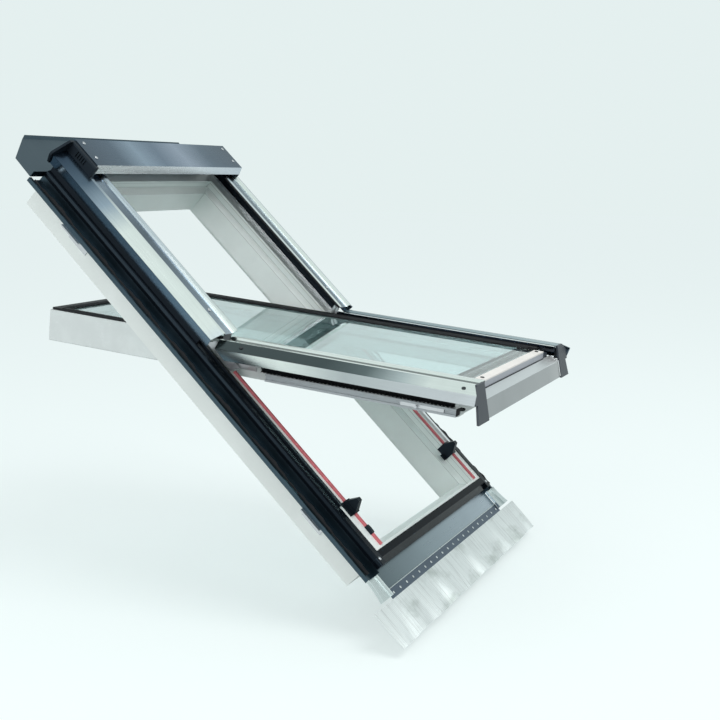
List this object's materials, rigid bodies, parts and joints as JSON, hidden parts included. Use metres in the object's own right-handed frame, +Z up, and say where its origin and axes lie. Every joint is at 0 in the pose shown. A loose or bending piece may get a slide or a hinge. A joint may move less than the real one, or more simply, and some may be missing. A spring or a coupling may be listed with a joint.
{
  "type": "centre-pivot roof window",
  "caption": "Roof skylight whose glazed sash turns on pivots halfway up its frame, with metal covers and a pleated flashing apron.",
  "frame": {"origin": "middle of the sash's pivot axis", "axes": "+X along the eave to the right seen from outside, +Y horizontally into the roof, +Z up; the frame is tilted 45 degrees about X"},
  "size_m": [0.96, 1.1377, 1.053],
  "materials": {
    "pvc_white": "satin",
    "cladding_black": "satin",
    "cover_grey": "satin",
    "plastic_black": "matte",
    "plastic_grey": "matte",
    "plastic_cream": "satin",
    "bright_aluminium": "bright",
    "sheet_aluminium": "satin",
    "flashing_grey": "satin",
    "glass": "clear",
    "rubber_black": "matte",
    "rubber_red": "matte",
    "steel": "zinc plated"
  },
  "bodies": {
    "frame": {"frame_jamb_left": "pvc_white", "frame_jamb_right": "pvc_white", "frame_head": "pvc_white", "frame_sill": "pvc_white", "side_cladding_left": "cladding_black", "side_cladding_right": "cladding_black", "sill_cladding": "cladding_black", "cladding_corner_left": "plastic_black", "cladding_corner_right": "plastic_black", "cover_rail_left": "plastic_black", "cover_rail_right": "plastic_black", "upper_cover_left": "cover_grey", "upper_cover_right": "cover_grey", "top_cover": "cover_grey", "corner_cap_left": "plastic_black", "guide_rail_left": "bright_aluminium", "guide_rail_right": "bright_aluminium", "frame_seal_left": "rubber_red", "frame_seal_right": "rubber_red", "lock_keep_left": "plastic_black", "lock_keep_right": "plastic_black", "frame_hinge_left": "steel", "frame_hinge_right": "steel", "fixing_bracket_left": "steel", "fixing_bracket_right": "steel", "side_flashing_left": "flashing_grey", "side_flashing_right": "flashing_grey", "sill_flashing": "flashing_grey", "flashing_strip": "plastic_grey", "flashing_apron": "sheet_aluminium", "head_flashing": "flashing_grey", "cover_screws": "steel"},
    "sash": {"sash_stile_left": "pvc_white", "sash_stile_right": "pvc_white", "sash_top_rail": "pvc_white", "sash_bottom_rail": "pvc_white", "outer_pane": "glass", "inner_pane": "glass", "pane_spacer": "bright_aluminium", "inner_gasket": "rubber_black", "drip_gasket": "rubber_black", "glazing_gasket": "rubber_black", "sash_cover_left": "cover_grey", "sash_cover_right": "cover_grey", "sash_cover_rail_left": "plastic_black", "sash_cover_rail_right": "plastic_black", "end_cap_left": "plastic_black", "end_cap_right": "plastic_black", "glazing_strip": "plastic_cream", "front_cover": "cover_grey", "front_rail": "plastic_black", "sash_hinge_left": "steel", "sash_hinge_right": "steel", "rail_strip_left": "plastic_grey", "rail_strip_right": "plastic_grey", "handle_plate": "plastic_grey", "sash_screws": "steel"},
    "handle": {"handle": "sheet_aluminium"},
    "lock_bolt_left": {"lock_bolt_left": "steel"},
    "lock_bolt_right": {"lock_bolt_right": "steel"}
  },
  "joints": [
    {"name": "sash_pivot", "type": "hinge", "parent": "frame", "child": "sash", "pos_m": [0, 0, 0], "axis": [-1, 0, 0], "range_deg": [-39, 101]},
    {"name": "handle_turn", "type": "hinge", "parent": "sash", "child": "handle", "pos_m": [0, -0.49523, -0.13853], "axis": [0, -0.1045, 0.9945], "range_deg": [0, 90]},
    {"name": "bolt_left_slide", "type": "slide", "parent": "sash", "child": "lock_bolt_left", "axis": [0, -0.9945, -0.1045], "range_m": [0, 0.01801]},
    {"name": "bolt_right_slide", "type": "slide", "parent": "sash", "child": "lock_bolt_right", "axis": [0, -0.9945, -0.1045], "range_m": [0, 0.01801]}
  ],
  "couplings": [
    {"joint": "bolt_left_slide", "follows": "handle_turn", "m_per_rad": 0.011459},
    {"joint": "bolt_right_slide", "follows": "handle_turn", "m_per_rad": 0.011459}
  ]
}
